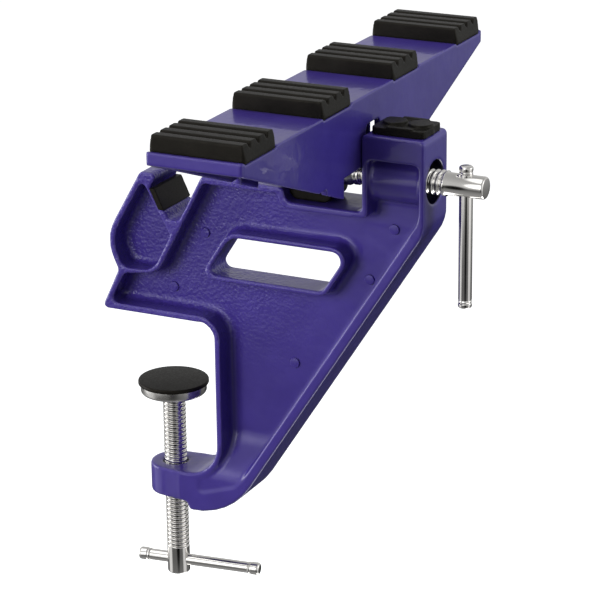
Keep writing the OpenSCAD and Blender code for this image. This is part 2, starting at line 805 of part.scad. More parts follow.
module clamp_bar() {
    color("#c9ccd1") clamp_bar_line() translate([0, 0, bar_shift]) t_bar(bar_d, bar_l, cap_l);
}
module clamp_bar_cap_right() {
    color("#c9ccd1") clamp_bar_line() translate([0, 0, bar_shift + bar_l / 2 - cap_l]) end_cap(bar_d, cap_l);
}
module clamp_bar_cap_left() {
    color("#c9ccd1") clamp_bar_line() translate([0, 0, bar_shift - bar_l / 2 + cap_l])
        mirror([0, 0, 1]) end_cap(bar_d, cap_l);
}

// Spindle, press shoe, its clip and its rubber face
press_journal_l = press_l - 1.5;
press_clip_x = press_left + 2.6;
press_clip_r = 5.5;
press_clip_bore_r = press_journal_d / 2 - 0.8;
module press_spindle() {
    color("#c9ccd1") difference() {
        union() {
            on_spindle(spindle_d / 2, spindle_left, spindle_low);
            on_spindle(spindle_head_d / 2, spindle_low - over, spindle_end - bevel);
            translate([spindle_end - bevel, 0, spindle_z]) rotate([0, 90, 0])
                cylinder(r1 = spindle_head_d / 2, r2 = spindle_head_d / 2 - bevel, h = bevel);
            on_spindle(press_journal_d / 2, press_clip_x - 2 * clip_t, spindle_left + over);
        }
        difference() {
            on_spindle(spindle_d, press_clip_x - clear / 3 - clip_t, press_clip_x - clear / 3);
            on_spindle(press_clip_bore_r, press_left, press_right);
        }
        spindle_bar_line() cylinder(d = key_d + 2 * running, h = 2 * spindle_d, center = true);
    }
}

module press_shoe() {
    color("#5a5c60") difference() {
        on_spindle(press_d / 2, press_left, press_right);
        on_spindle(press_journal_d / 2 + running, press_clip_x - over, press_right + over);
        on_spindle(press_clip_r + clear, press_left - over, press_clip_x);
    }
}

module press_shoe_clip() {
    x = press_clip_x - clear / 3 - clip_t;
    color("#8d9096") difference() {
        on_spindle(press_clip_r, x, x + clip_t);
        on_spindle(press_clip_bore_r, x - over, x + clip_t + over);
    }
}

module press_shoe_rubber() {
    color("#2b2a27") on_spindle(press_d / 2, press_face, press_left);
}

// Places its children on the spindle bar's axis, with +Z up the bar
module spindle_bar_line() {
    translate([key_x, 0, spindle_z]) children();
}
key_mid = key_top - key_l / 2 - spindle_z;
module spindle_bar() {
    color("#c9ccd1") spindle_bar_line() translate([0, 0, key_mid]) t_bar(key_d, key_l, key_cap_l);
}
module spindle_bar_cap_top() {
    color("#c9ccd1") spindle_bar_line() translate([0, 0, key_mid + key_l / 2 - key_cap_l])
        end_cap(key_d, key_cap_l);
}
module spindle_bar_cap_bottom() {
    color("#c9ccd1") spindle_bar_line() translate([0, 0, key_mid - key_l / 2 + key_cap_l])
        mirror([0, 0, 1]) end_cap(key_d, key_cap_l);
}

frame_casting();
foot_thread_nut();
tower_thread_nut();
vee_rubber();
tower_pad();
support_beam();
rest_pad_1();
rest_pad_2();
rest_pad_3();
rest_pad_4();
lug_boot();
clamp_screw();
clamp_shoe();
clamp_shoe_clip();
clamp_shoe_rubber();
clamp_bar();
clamp_bar_cap_left();
clamp_bar_cap_right();
press_spindle();
press_shoe();
press_shoe_clip();
press_shoe_rubber();
spindle_bar();
spindle_bar_cap_top();
spindle_bar_cap_bottom();
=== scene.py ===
"""Looks for the ski vise: cast and painted frame and rest, rubber pads, chromed screws.

Sizes of shapes are in millimetres in the row frame of part.scad and become metres through MM.
Materials, camera and lights are in metres. Names that end in _R are radii, _L lengths, _H heights
and _T thicknesses.
"""

import math

import bmesh
import bpy
import numpy as np
from mathutils import Matrix, Vector


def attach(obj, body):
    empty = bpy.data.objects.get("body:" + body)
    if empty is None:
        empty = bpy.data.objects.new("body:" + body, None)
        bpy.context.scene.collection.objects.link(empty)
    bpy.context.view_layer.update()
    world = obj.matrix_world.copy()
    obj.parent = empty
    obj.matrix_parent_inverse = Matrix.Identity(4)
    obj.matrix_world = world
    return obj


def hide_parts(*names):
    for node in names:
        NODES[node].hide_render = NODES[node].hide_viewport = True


MM = 0.001

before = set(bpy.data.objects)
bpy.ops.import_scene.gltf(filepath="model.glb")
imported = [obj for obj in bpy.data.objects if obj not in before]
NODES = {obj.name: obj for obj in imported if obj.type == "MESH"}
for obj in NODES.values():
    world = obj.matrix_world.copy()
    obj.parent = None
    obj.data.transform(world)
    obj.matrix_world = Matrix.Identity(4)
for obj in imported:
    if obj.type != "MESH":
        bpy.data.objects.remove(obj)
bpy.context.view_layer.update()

# ---------------------------------------------------------------- sizes of the casting
WEB_T = 5.0
HALF_W = 18
TOWER_RIGHT = 185.6
COUNTERBORE_R = 13.5
# The shown foot grows from the web's face to the full width between these two heights.
FOOT_START = -76.0
FOOT_FULL = -108.0
FOOT_LEFT = 14
FOOT_INSET = 0.5
# Inner corners are filled this far either way, less where the tower's ribs begin.
FILLET = 2.2
FILLET_LESS = 1.5
TOWER_RIBS_X = (138, 6)
TOWER_RIBS_Z = (76, 8)
# Grain of the rounded copies, and how often they are smoothed.
CAST_VOXEL, CAST_VOXEL_QUICK = 0.75, 1.2
CAST_ROUNDS = 4
# Ejector marks as (x, z), a little larger than the solid's, which they cover.
PINS = ((27.8, 55.3), (4.1, 15.8), (159.6, 74.7), (142.7, 39.9), (90.4, -23.4))
PIN_R = 3.2
PIN_H = 1.1
PIN_SUNK = 0.05

# ---------------------------------------------------------------- sizes of the clamp screw, up Z
SCREW_R = 7.5
SCREW_TOP = -60.3
SCREW_LOW = -169.3
SCREW_END = -187.5
SCREW_PITCH = 3.0
SCREW_THREAD = {"depth": 1.3, "crest": 0.45, "root": 0.1}
JOURNAL_R = 4.5
JOURNAL_TOP = -52.4
SHOE_TOP = -51.4
SHOE_FOOT = -60.0
SHOE_R = 21.7
SHOE_HUB_R = (9.0, 12.0)
SHOE_HUB_H = 1.5
RUBBER_TOP = -49.4
RUBBER_LOW = -52.0
RUBBER_R = 23.2
BAR_Z = -178.6
BAR_TURN = 7.0
BAR_R = 3.75
BAR_L = 86.0
BAR_SHIFT = 15.0
BAR_CAP = 8.0
BAR_CAP_GROWN = 0.5

# ---------------------------------------------------------------- sizes of the spindle, along X
SPINDLE_Z = 107.7
SPINDLE_R = 8.0
SPINDLE_LEFT = 132.9
SPINDLE_LOW = 193.3
SPINDLE_END = 218.6
SPINDLE_PITCH = 3.5
SPINDLE_THREAD = {"depth": 1.5, "crest": 0.1, "root": 0.05}
# 0.3 mm less than the solid's head, as slim as the photo shows it.
SPINDLE_HEAD_R = 7.0
PRESS_FACE = 121.1
PRESS_LEFT = 124.6
PRESS_RIGHT = 132.6
PRESS_R = 8.8
PRESS_NECK_R = 7.2
PRESS_BORE_R = 4.1
PRESS_JOURNAL_R = 4
PRESS_JOURNAL_IN = 0.6
KEY_X = 205.44
KEY_R = 4.25
KEY_TOP = 120.15
KEY_L = 90.0
KEY_CAP = 5.0
KEY_CAP_GROWN = 0.1

# ---------------------------------------------------------------- sizes of bars and lathe work
BAR_SEAT = 0.6
BAR_END = 0.5
AXIS_R = 0.01
# A thread starts this far in from the end of its rod, and a little gap keeps the rows apart.
THREAD_LAND = 1.5
THREAD_GAP = 0.1
SCREW_SIDES = 64
SHOE_SIDES = 96
BAR_SIDES = 48
PIN_SIDES = 24
THREAD_ROWS = 14
THREAD_FADE = 0.6
STRAIGHT = math.radians(88)

# ---------------------------------------------------------------- looks, in metres
PAINT_DARK = (0.034, 0.020, 0.170)
PAINT_LIGHT = (0.046, 0.029, 0.215)
# The sand skin fades out down the web and towards the tower, from the first to the second value.
SKIN_Z = (-0.045, 0.03)
SKIN_X = (0.12, 0.05)
SKIN_LEAST = 0.02
# How far painted shade darkens the paint inside the tower's counterbore.
COUNTERBORE_SHADE = 0.92
RUBBER_DARK = (0.0035, 0.0032, 0.0026)
RUBBER_LIGHT = (0.0075, 0.0068, 0.0056)
RUBBER_TINT = (1.0, 0.93, 0.82, 1)

CAMERA_PLACE = (0.7731, -1.3711, 0.5595)
CAMERA_YAW, CAMERA_PITCH, CAMERA_ROLL = 26.38, -19.47, -0.68
CAMERA_LENS = 154.4

# Brightness of the room that gloss shows, by height from 0 straight down to 1 straight up.
ROOM_LEVELS = [(0.0, 0.35), (0.20, 0.20), (0.28, 0.12), (0.34, 0.18),
               (0.46, 0.62), (0.70, 0.60), (1.0, 0.40)]
# Round patches of the room: direction, radius and soft edge in degrees, strength.
DARK_CARDS = (
    ((0.42, -0.86, -0.30), 9, 13, 0.96),
    ((-0.13, 0.85, -0.52), 14, 14, 0.8),
)
BRIGHT_CARDS = (
    ((-0.97, -0.22, 0.05), 10, 14, 3.2),
    ((0.31, 0.25, -0.92), 12, 14, 3.0),
    ((-0.15, -0.95, 0.30), 10, 14, 1.6),
    ((0.85, 0.3, 0.25), 10, 14, 1.5),
    ((-0.3, -0.2, 0.93), 14, 16, 1.3),
    ((-0.42, -0.89, -0.14), 5, 9, 0.5),
    ((-0.85, -0.4, -0.35), 14, 12, 0.7),
    ((0.92, 0.1, -0.33), 14, 12, 0.6),
)
SOFT_COLOUR = (0.96, 0.97, 1, 1)
SOFT_LEVEL = 0.29
# Lamps: name, place, size, watts, colour.
LAMPS_AIM = (0.08, 0, -0.02)
LAMPS = (
    ("key", (-0.55, -1.7, 0.5), (0.9, 1.0), 28, (1, 1, 1)),
    ("left", (-1.5, -0.5, 0.35), (0.8, 1.1), 16, (1, 1, 1)),
    ("side", (1.55, 0.6, 0.45), (0.8, 1.3), 18, (0.82, 1.0, 1.0)),
    ("top", (0.0, 0.4, 1.6), (1.0, 0.8), 12, (1, 1, 1)),
)
FLOOR_HALF = 8.0
FLOOR_Z = -0.75
FLOOR_GLOW = 0.75


# ---------------------------------------------------------------- materials
def new_material(name):
    mat = bpy.data.materials.new(name)
    mat.use_nodes = True
    nodes = mat.node_tree.nodes
    nodes.clear()
    out = nodes.new("ShaderNodeOutputMaterial")
    bsdf = nodes.new("ShaderNodeBsdfPrincipled")
    mat.node_tree.links.new(bsdf.outputs["BSDF"], out.inputs["Surface"])
    return mat, nodes, mat.node_tree.links, bsdf


def noise(nodes, links, coords, scale, detail, roughness):
    n = nodes.new("ShaderNodeTexNoise")
    n.inputs["Scale"].default_value = scale
    n.inputs["Detail"].default_value = detail
    n.inputs["Roughness"].default_value = roughness
    links.new(coords, n.inputs["Vector"])
    return n.outputs["Fac"]


def ramp(nodes, links, fac, stops):
    r = nodes.new("ShaderNodeValToRGB")
    while len(r.color_ramp.elements) < len(stops):
        r.color_ramp.elements.new(0.5)
    for e, (pos, colour) in zip(r.color_ramp.elements, stops):
        e.position = pos
        e.color = (*colour, 1) if isinstance(colour, tuple) else (colour, colour, colour, 1)
    links.new(fac, r.inputs["Fac"])
    return r.outputs["Color"]


def bump(nodes, links, height, strength, distance, normal=None):
    b = nodes.new("ShaderNodeBump")
    b.inputs["Strength"].default_value = strength
    b.inputs["Distance"].default_value = distance
    links.new(height, b.inputs["Height"])
    if normal is not None:
        links.new(normal, b.inputs["Normal"])
    return b.outputs["Normal"]


def math_node(nodes, links, kind, a, b):
    """One sum of two values, each a number or a socket."""
    m = nodes.new("ShaderNodeMath")
    m.operation = kind
    for socket, value in zip(m.inputs, (a, b)):
        if isinstance(value, (int, float)):
            socket.default_value = value
        else:
            links.new(value, socket)
    return m.outputs[0]


def fade(nodes, links, value, start, end, top=1.0):
    """Smooth step from 0 at start to top at end."""
    step = nodes.new("ShaderNodeMapRange")
    step.interpolation_type = "SMOOTHSTEP"
    step.inputs["From Min"].default_value = start
    step.inputs["From Max"].default_value = end
    step.inputs["To Max"].default_value = top
    links.new(value, step.inputs["Value"])
    return step.outputs[0]


def without(nodes, links, share):
    """1 less a share."""
    return math_node(nodes, links, "SUBTRACT", 1.0, share)


def painted_counterbore_shade(nodes, links, xyz):
    """1 on open paint, much less in the tower's counterbore, where painted shade darkens the hole.
    """
    above = math_node(nodes, links, "SUBTRACT", xyz["Z"], SPINDLE_Z * MM)
    squares = [math_node(nodes, links, "POWER", side, 2.0) for side in (xyz["Y"], above)]
    away = math_node(nodes, links, "SQRT", math_node(nodes, links, "ADD", *squares), 0)
    outside = fade(nodes, links, away, (COUNTERBORE_R + 0.2) * MM, (COUNTERBORE_R + 0.6) * MM)
    deep = fade(nodes, links, xyz["X"], (TOWER_RIGHT - 0.4) * MM, (TOWER_RIGHT - 1.2) * MM)
    inside = math_node(nodes, links, "MULTIPLY", without(nodes, links, outside), deep)
    return without(nodes, links, math_node(nodes, links, "MULTIPLY", inside, COUNTERBORE_SHADE))


def paint_material(name, cast):
    """Glossy violet-blue paint. The cast amount sets how much of the sand skin shows through it."""
    mat, nodes, links, bsdf = new_material(name)
    coords = nodes.new("ShaderNodeTexCoord").outputs["Object"]
    grit = noise(nodes, links, coords, 480.0, 1.0, 0.5)
    peel = noise(nodes, links, coords, 260.0, 2.0, 0.5)
    waves = noise(nodes, links, coords, 70.0, 2.0, 0.5)
    tone = noise(nodes, links, coords, 28.0, 3.0, 0.6)
    colour = ramp(nodes, links, tone, [(0.25, PAINT_DARK), (0.75, PAINT_LIGHT)])
    rough = ramp(nodes, links, peel, [(0.3, 0.28), (0.7, 0.35)])
    links.new(rough, bsdf.inputs["Roughness"])
    bsdf.inputs["Specular IOR Level"].default_value = 0.35
    bsdf.inputs["Coat Weight"].default_value = 0.5
    bsdf.inputs["Coat Roughness"].default_value = 0.06
    split = nodes.new("ShaderNodeSeparateXYZ")
    links.new(coords, split.inputs[0])
    # The base colour is darkened by painted shade inside the counterbore.
    painted_shade = painted_counterbore_shade(nodes, links, split.outputs)
    shaded_colour = nodes.new("ShaderNodeVectorMath")
    shaded_colour.operation = "SCALE"
    links.new(colour, shaded_colour.inputs[0])
    links.new(painted_shade, shaded_colour.inputs["Scale"])
    links.new(shaded_colour.outputs[0], bsdf.inputs["Base Color"])
    skin = math_node(nodes, links, "MULTIPLY", fade(nodes, links, split.outputs["Z"], *SKIN_Z),
                     fade(nodes, links, split.outputs["X"], *SKIN_X))
    skin = math_node(nodes, links, "MULTIPLY", skin, 1 - SKIN_LEAST)
    skin = math_node(nodes, links, "ADD", skin, SKIN_LEAST)
    normal = bump(nodes, links, waves, 0.3, 0.0008)
    for height, distance in ((peel, 0.0005), (grit, 0.0007)):
        height = math_node(nodes, links, "MULTIPLY", height, skin)
        normal = bump(nodes, links, height, cast, distance, normal)
    links.new(normal, bsdf.inputs["Normal"])
    links.new(normal, bsdf.inputs["Coat Normal"])
    return mat


def rubber_material():
    """Moulded rubber: near black with a dull brownish grey where light grazes it."""
    mat, nodes, links, bsdf = new_material("rubber")
    coords = nodes.new("ShaderNodeTexCoord").outputs["Object"]
    grain = noise(nodes, links, coords, 900.0, 3.0, 0.6)
    patch = noise(nodes, links, coords, 60.0, 3.0, 0.6)
    colour = ramp(nodes, links, patch, [(0.3, RUBBER_DARK), (0.7, RUBBER_LIGHT)])
    links.new(colour, bsdf.inputs["Base Color"])
    rough = ramp(nodes, links, grain, [(0.3, 0.34), (0.7, 0.5)])
    links.new(rough, bsdf.inputs["Roughness"])
    bsdf.inputs["Specular IOR Level"].default_value = 0.15
    bsdf.inputs["Specular Tint"].default_value = RUBBER_TINT
    links.new(bump(nodes, links, grain, 0.5, 0.00015), bsdf.inputs["Normal"])
    return mat


def metal_material(name, colour, rough_low, rough_high, scratch):
    """Plated steel with fine scratches and a slightly uneven polish."""
    mat, nodes, links, bsdf = new_material(name)
    coords = nodes.new("ShaderNodeTexCoord").outputs["Object"]
    fine = noise(nodes, links, coords, 700.0, 4.0, 0.6)
    smear = noise(nodes, links, coords, 55.0, 3.0, 0.55)
    bsdf.inputs["Metallic"].default_value = 1.0
    tint = ramp(nodes, links, smear, [(0.3, tuple(0.93 * c for c in colour)), (0.7, colour)])
    links.new(tint, bsdf.inputs["Base Color"])
    rough = ramp(nodes, links, smear, [(0.3, rough_low), (0.7, rough_high)])
    links.new(rough, bsdf.inputs["Roughness"])
    links.new(bump(nodes, links, fine, scratch, 0.00005), bsdf.inputs["Normal"])
    return mat


PAINT = paint_material("paint_cast", 0.8)
PAINT_SMOOTH = paint_material("paint_smooth", 0.12)
RUBBER = rubber_material()
CHROME = metal_material("chrome", (0.80, 0.785, 0.76), 0.10, 0.15, 0.04)
SATIN = metal_material("satin_chrome", (0.62, 0.61, 0.59), 0.20, 0.32, 0.4)
STEEL = metal_material("steel", (0.50, 0.51, 0.53), 0.28, 0.42, 0.3)


# ---------------------------------------------------------------- mesh helpers
def link(name, mesh, material):
    """A smooth-shaded object of one material, put in the scene."""
    ob = bpy.data.objects.new(name, mesh)
    bpy.context.scene.collection.objects.link(ob)
    mesh.materials.clear()
    mesh.materials.append(material)
    for p in mesh.polygons:
        p.use_smooth = True
        p.material_index = 0
    return ob


def stand_in(ob, node, body):
    """Shows the object in place of a CAD node, on that node's body."""
    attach(ob, body)
    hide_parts(node)


def rounded_copy(name, node, material, voxel, rounds, reach=None, plain=None, shape=None):
    """A fine copy of a CAD node, its outer edges rounded by smoothing.

    plain moves single points of the CAD mesh, shape moves the fine points, and reach(points) says
    how far the inner corners are filled, by moving every face out and back in again.
    """
    mesh = NODES[node].data.copy()
    bm = bmesh.new()
    bm.from_mesh(mesh)
    bmesh.ops.remove_doubles(bm, verts=bm.verts, dist=0.001 * MM)
    if plain:
        for v in bm.verts:
            plain(v.co)
    bm.to_mesh(mesh)
    bm.free()
    ob = link(name, mesh, material)
    voxels(ob, voxel)
    if shape:
        moved(ob, shape)
        voxels(ob, voxel)
    if reach:
        for way in (1, -1):
            moved(ob, lambda at, normals: at + way * reach(at)[:, None] * normals)
            voxels(ob, voxel)
    smooth = ob.modifiers.new("smooth", "SMOOTH")
    smooth.factor = 0.5
    smooth.iterations = rounds
    return applied(ob)


def moved(ob, rule):
    """Applies the modifiers, then moves the vertices by a rule of points and normals in mm."""
    applied(ob)
    count = len(ob.data.vertices)
    points, normals = np.empty(3 * count), np.empty(3 * count)
    ob.data.vertices.foreach_get("co", points)
    ob.data.vertices.foreach_get("normal", normals)
    points = rule(points.reshape(-1, 3) / MM, normals.reshape(-1, 3)) * MM
    ob.data.vertices.foreach_set("co", points.ravel())
    ob.data.update()


def voxels(ob, size):
    """Adds a remesh to cubes of a size in millimetres."""
    remesh = ob.modifiers.new("remesh", "REMESH")
    remesh.mode = "VOXEL"
    remesh.voxel_size = size * MM


def applied(ob):
    """Turns the object's modifiers into its mesh."""
    dg = bpy.context.evaluated_depsgraph_get()
    mesh = bpy.data.meshes.new_from_object(ob.evaluated_get(dg))
    old = ob.data
    ob.modifiers.clear()
    ob.data = mesh
    bpy.data.meshes.remove(old)
    for p in mesh.polygons:
        p.use_smooth = True
    return ob


def turned(name, material, rows, place, sides):
    """A lathed body with flat ends.

    Each row is (position along the axis, radius or radii), and place maps to the frame.
    """
    verts, faces = [], []
    angles = [2 * math.pi * i / sides for i in range(sides)]
    for t, r in rows:
        radii = r if isinstance(r, list) else [r] * sides
        verts += [(q * math.cos(a), q * math.sin(a), t) for q, a in zip(radii, angles)]
    for j in range(len(rows) - 1):
        for i in range(sides):
            k = (i + 1) % sides
            faces.append((j * sides + i, j * sides + k, (j + 1) * sides + k, (j + 1) * sides + i))
    last = (len(rows) - 1) * sides
    faces.append(tuple(reversed(range(sides))))
    faces.append(tuple(range(last, last + sides)))
    mesh = bpy.data.meshes.new(name)
    mesh.from_pydata([tuple(MM * c for c in v) for v in verts], [], faces)
    mesh.transform(place)
    mesh.update()
    return link(name, mesh, material)


def bevelled(rows, steps=5):
    """Rounds the corners of a profile given as (position, radius, corner radius)."""
    out = []
    n = len(rows)
    for i, (t, r, c) in enumerate(rows):
        if c == 0 or i in (0, n - 1):
            out.append((t, r))
            continue
        p = Vector((t, r))
        a, b = Vector(rows[i - 1][:2]) - p, Vector(rows[i + 1][:2]) - p
        la, lb = a.length, b.length
        a.normalize()
        b.normalize()
        half = a.angle(b) / 2
        if half > STRAIGHT:
            out.append((t, r))
            continue
        reach = min(c / math.tan(half), 0.48 * la, 0.48 * lb)
        c = reach * math.tan(half)
        mid = p + (a + b).normalized() * c / math.sin(half)
        start, end = p + a * reach - mid, p + b * reach - mid
        sweep = start.angle(end)
        for k in range(steps + 1):
            s = k / steps
            arm = start * math.sin((1 - s) * sweep) + end * math.sin(s * sweep)
            q = mid + arm / math.sin(sweep)
            out.append((q.x, q.y))
    return out


def along_axis(origin, direction):
    """Matrix that puts the lathe's axis on a line through origin, in millimetres."""
    z = Vector(direction).normalized()
    x = Vector((0, 0, 1)).cross(z)
    x = x.normalized() if x.length > 1e-6 else Vector((1, 0, 0))
    y = z.cross(x)
    m = Matrix((x, y, z)).transposed().to_4x4()
    return Matrix.Translation(Vector(origin) * MM) @ m


def thread_rows(t0, t1, r, pitch, depth, crest, root):
    """Rows of a helical thread with flat crests and rounded roots, fading in and out.

    crest and root are the shares of half a pitch that stay at full height and full depth.
    """
    count = int(round((t1 - t0) / pitch * THREAD_ROWS))
    rows = []
    for j in range(count + 1):
        t = t0 + (t1 - t0) * j / count
        end = min(1.0, min(abs(t - t0), abs(t1 - t)) / (THREAD_FADE * pitch))
        radii = []
        for i in range(SCREW_SIDES):
            phase = (t / pitch + i / SCREW_SIDES) % 1.0
            d = abs(phase - 0.5) * 2
            cut = min(1.0, max(0.0, (d - crest) / (1 - crest - root)))
            cut = cut * cut * (3 - 2 * cut)
            radii.append(r - depth * cut * end)
        rows.append((t, radii))
    return rows


# ---------------------------------------------------------------- castings and rubbers
def fillets(points):
    """How far the casting's inner corners are filled: wide on the web, narrow on the tower."""
    (start_x, over_x), (start_z, over_z) = TOWER_RIBS_X, TOWER_RIBS_Z
    tower = np.clip((points[:, 0] - start_x) / over_x, 0, 1)
    tower = tower * np.clip((points[:, 2] - start_z) / over_z, 0, 1)
    return FILLET - FILLET_LESS * tower


def full_foot(points, normals):
    """Leads the web's face out to the foot's full width, so that its hollow fades out there."""
    x, y, z = points.T
    share = np.clip((FOOT_START - z) / (FOOT_START - FOOT_FULL), 0, 1)
    want = WEB_T / 2 + (HALF_W - FOOT_INSET - WEB_T / 2) * share * share * (3 - 2 * share)
    faces_side = np.abs(normals[:, 1]) > 0.5
    floor = faces_side & (x > FOOT_LEFT) & (share > 0) & (np.abs(y) < want)
    return np.column_stack((x, np.where(floor, np.sign(y) * want, y), z))


def without_pins(point):
    """Sinks the CAD mesh's ejector marks, because turned ones with a crisp edge replace them."""
    if WEB_T / 2 < abs(point.y) / MM < WEB_T / 2 + 1 and any(
            math.hypot(point.x / MM - x, point.z / MM - z) < PIN_R for x, z in PINS):
        point.y = math.copysign((WEB_T / 2 - PIN_SUNK) * MM, point.y)


def castings():
    """The frame with its ejector marks, and the rest."""
    voxel = CAST_VOXEL
    body = rounded_copy("cast_frame", "frame_casting", PAINT, voxel, CAST_ROUNDS,
                        fillets, without_pins, full_foot)
    stand_in(body, "frame_casting", "frame")
    beam = rounded_copy("cast_rest", "support_beam", PAINT_SMOOTH, voxel, CAST_ROUNDS)
    stand_in(beam, "support_beam", "rest")
    number = 0
    for x, z in PINS:
        for side in (-1, 1):
            number += 1
            place = along_axis((x, side * WEB_T / 2, z), (0, side, 0))
            rows = bevelled([(-0.5, PIN_R + 0.4, 0), (PIN_H, PIN_R, 0.35),
                             (PIN_H, AXIS_R, 0)], 3)
            mark = turned("pin_mark_%d" % number, PAINT, rows, place, PIN_SIDES)
            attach(mark, "frame")


def rubbers():
    """Every moulded rubber but the two shoes': name, node, body, voxel and rounds of smoothing."""
    pads = [("ribbed_pad_%d" % i, "rest_pad_%d" % i, "rest", 0.55, 4) for i in range(1, 5)]
    for name, node, body, voxel, rounds in pads + [
            ("studded_pad", "tower_pad", "frame", 0.5, 5),
            ("rubber_boot", "lug_boot", "rest", 0.6, 5),
            ("rubber_strip", "vee_rubber", "frame", 0.4, 4)]:
        stand_in(rounded_copy(name, node, RUBBER, voxel, rounds), node, body)


# ---------------------------------------------------------------- screws, shoes and bars
SCREW_AXIS = along_axis((0, 0, 0), (0, 0, 1))
SPINDLE_AXIS = along_axis((0, 0, SPINDLE_Z), (1, 0, 0))


def lathe(name, node, body, material, rows, place, sides):
    """A turned piece in place of a CAD node."""
    stand_in(turned(name, material, rows, place, sides), node, body)


def clamp_screw(up):
    """Head, thread and journal of the clamp screw."""
    rows = bevelled([(SCREW_END, AXIS_R, 0), (SCREW_END, SCREW_R, 1.2),
                     (SCREW_LOW - 0.5, SCREW_R, 0)])
    thread_top = SCREW_TOP - THREAD_LAND
    rows += thread_rows(SCREW_LOW, thread_top, SCREW_R, SCREW_PITCH, **SCREW_THREAD)
    rows += bevelled([(thread_top + THREAD_GAP, SCREW_R, 0), (SCREW_TOP, SCREW_R, 0.8),
                      (SCREW_TOP, JOURNAL_R, 0), (JOURNAL_TOP, JOURNAL_R, 0.4),
                      (JOURNAL_TOP, AXIS_R, 0)])
    lathe("clamp_screw_turned", "clamp_screw", "clamp_screw", CHROME, rows, up,
          SCREW_SIDES)


def press_spindle(right):
    """Journal, thread and head of the spindle."""
    journal_end = PRESS_LEFT + PRESS_JOURNAL_IN
    thread_left = SPINDLE_LEFT + THREAD_LAND
    rows = bevelled([(journal_end, AXIS_R, 0), (journal_end, PRESS_JOURNAL_R, 0.3),
                     (SPINDLE_LEFT, PRESS_JOURNAL_R, 0), (SPINDLE_LEFT, SPINDLE_R, 0.8),
                     (thread_left - THREAD_GAP, SPINDLE_R, 0)])
    rows += thread_rows(thread_left, SPINDLE_LOW, SPINDLE_R, SPINDLE_PITCH, **SPINDLE_THREAD)
    rows += bevelled([(SPINDLE_LOW + 0.5, SPINDLE_HEAD_R, 0), (SPINDLE_END, SPINDLE_HEAD_R, 1.4),
                      (SPINDLE_END, AXIS_R, 0)])
    lathe("spindle_turned", "press_spindle", "press_spindle", CHROME, rows, right,
          SCREW_SIDES)


def clamp_shoe(up):
    """The swivel shoe, a cup with a hub, and its rubber cap."""
    hub_low, hub_top = SHOE_HUB_R
    rows = bevelled([(SHOE_FOOT, AXIS_R, 0), (SHOE_FOOT, hub_low, 0.5),
                     (SHOE_FOOT + SHOE_HUB_H, hub_top, 1.0),
                     (SHOE_FOOT + SHOE_HUB_H + 0.1, SHOE_R, 2.0),
                     (SHOE_TOP, SHOE_R, 0.3), (SHOE_TOP, AXIS_R, 0)])
    lathe("clamp_shoe_turned", "clamp_shoe", "clamp_shoe", SATIN, rows, up, SHOE_SIDES)
    rows = bevelled([(RUBBER_LOW, SHOE_R + 0.05, 0), (RUBBER_LOW, RUBBER_R, 0.4),
                     (RUBBER_TOP, RUBBER_R, 0.9), (RUBBER_TOP, AXIS_R, 0)])
    lathe("clamp_shoe_cap", "clamp_shoe_rubber", "clamp_shoe", RUBBER, rows, up,
          SHOE_SIDES)


def press_shoe(right):
    """The shoe that presses the rest's lug, and its rubber face."""
    rows = bevelled([(PRESS_LEFT, AXIS_R, 0), (PRESS_LEFT, PRESS_R, 0.4),
                     (PRESS_RIGHT - 3.0, PRESS_R, 0.3), (PRESS_RIGHT, PRESS_NECK_R, 0.5),
                     (PRESS_RIGHT, PRESS_BORE_R, 0)])
    lathe("press_shoe_turned", "press_shoe", "press_shoe", STEEL, rows, right,
          SCREW_SIDES)
    rows = bevelled([(PRESS_FACE, AXIS_R, 0), (PRESS_FACE, PRESS_R, 0.7),
                     (PRESS_LEFT, PRESS_R, 0.3), (PRESS_LEFT, AXIS_R, 0)])
    lathe("press_shoe_face", "press_shoe_rubber", "press_shoe", RUBBER, rows, right,
          SCREW_SIDES)


def bar(name, node, body, place, r, low, high, seat):
    """A T-bar with a turned-down seat for a cap at each end."""
    thin = r - BAR_SEAT
    first, last = low + BAR_END, high - BAR_END
    rows = bevelled([(first, AXIS_R, 0), (first, thin, 0.2), (low + seat, thin, 0),
                     (low + seat, r, 0.4), (high - seat, r, 0.4), (high - seat, thin, 0),
                     (last, thin, 0.2), (last, AXIS_R, 0)])
    lathe(name, node, body, CHROME, rows, place, BAR_SIDES)


def cap(name, node, body, place, r, start, end, grown):
    """A crimped cap: its open end is pressed in, its far end is domed."""
    way = 1 if end > start else -1
    outer = r + grown
    depth = abs(end - start)
    shape = [(0, r - BAR_SEAT, 0), (0, outer - 0.35, 0.15), (0.9, outer - 0.1, 0.4),
             (1.6, outer - 0.5, 0.3), (2.3, outer, 0.5), (depth, outer, outer * 0.62),
             (depth, AXIS_R, 0)]
    rows = bevelled([(start + way * t, q, c) for t, q, c in shape], 7)
    lathe(name, node, body, CHROME, rows, place, BAR_SIDES)


